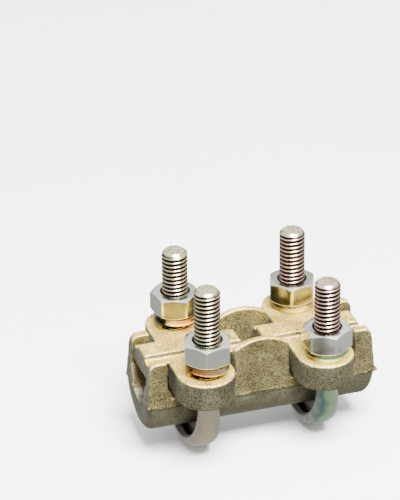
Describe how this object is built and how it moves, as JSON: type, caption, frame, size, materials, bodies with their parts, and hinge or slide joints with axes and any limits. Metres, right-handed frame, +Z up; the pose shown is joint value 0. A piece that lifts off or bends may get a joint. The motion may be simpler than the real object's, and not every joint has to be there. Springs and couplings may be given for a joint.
{
  "type": "double u-bolt cable connector",
  "caption": "Cast trough with a cable groove, loose saddles over it, and U-bolts with nuts and spring washers that clamp two cable ends in line.",
  "frame": {"origin": "on the axis of the cable groove, half way along the trough", "axes": "+X along the cable, +Y across it from the front lugs to the back lugs, +Z up the legs of the U-bolts towards their nuts"},
  "size_m": [0.055, 0.0366, 0.0448],
  "materials": {
    "cast_trough": "sand-cast, dull olive brass",
    "cast_saddle": "sand-cast, paler top faces",
    "u_bolt_steel": "zinc plated, iridescent yellow passivation",
    "nut_steel": "bright zinc plated with a faint yellow tint",
    "washer_steel": "zinc plated, yellow passivation"
  },
  "bodies": {
    "trough": {"trough_body": "cast_trough"},
    "left_u_bolt": {"left_u_bolt": "u_bolt_steel"},
    "left_saddle": {"left_saddle": "cast_saddle", "left_front_spring_washer": "washer_steel", "left_back_spring_washer": "washer_steel"},
    "left_front_nut": {"left_front_nut": "nut_steel"},
    "left_back_nut": {"left_back_nut": "nut_steel"},
    "right_u_bolt": {"right_u_bolt": "u_bolt_steel"},
    "right_saddle": {"right_saddle": "cast_saddle", "right_front_spring_washer": "washer_steel", "right_back_spring_washer": "washer_steel"},
    "right_front_nut": {"right_front_nut": "nut_steel"},
    "right_back_nut": {"right_back_nut": "nut_steel"}
  },
  "joints": [
    {"name": "left_u_bolt_draw", "type": "slide", "parent": "trough", "child": "left_u_bolt", "axis": [0, 0, 1], "range_m": [0, 0.00048]},
    {"name": "left_saddle_lift", "type": "slide", "parent": "left_u_bolt", "child": "left_saddle", "axis": [0, 0, 1], "range_m": [0, 0.009]},
    {"name": "left_front_nut_turn", "type": "hinge", "parent": "left_saddle", "child": "left_front_nut", "pos_m": [-0.01405, -0.01173, 0.012], "axis": [0, 0, 1], "range_deg": [0, 3240]},
    {"name": "left_back_nut_turn", "type": "hinge", "parent": "left_saddle", "child": "left_back_nut", "pos_m": [-0.01405, 0.01173, 0.012], "axis": [0, 0, 1], "range_deg": [0, 3240]},
    {"name": "right_u_bolt_draw", "type": "slide", "parent": "trough", "child": "right_u_bolt", "axis": [0, 0, 1], "range_m": [0, 0.0001]},
    {"name": "right_saddle_lift", "type": "slide", "parent": "right_u_bolt", "child": "right_saddle", "axis": [0, 0, 1], "range_m": [0, 0.009]},
    {"name": "right_front_nut_turn", "type": "hinge", "parent": "right_saddle", "child": "right_front_nut", "pos_m": [0.01405, -0.01173, 0.012], "axis": [0, 0, 1], "range_deg": [0, 3240]},
    {"name": "right_back_nut_turn", "type": "hinge", "parent": "right_saddle", "child": "right_back_nut", "pos_m": [0.01405, 0.01173, 0.012], "axis": [0, 0, 1], "range_deg": [0, 3240]}
  ],
  "couplings": [
    {"joint": "left_front_nut_turn", "follows": "left_saddle_lift", "rad_per_m": 6283.2},
    {"joint": "left_back_nut_turn", "follows": "left_saddle_lift", "rad_per_m": 6283.2},
    {"joint": "right_front_nut_turn", "follows": "right_saddle_lift", "rad_per_m": 6283.2},
    {"joint": "right_back_nut_turn", "follows": "right_saddle_lift", "rad_per_m": 6283.2}
  ]
}
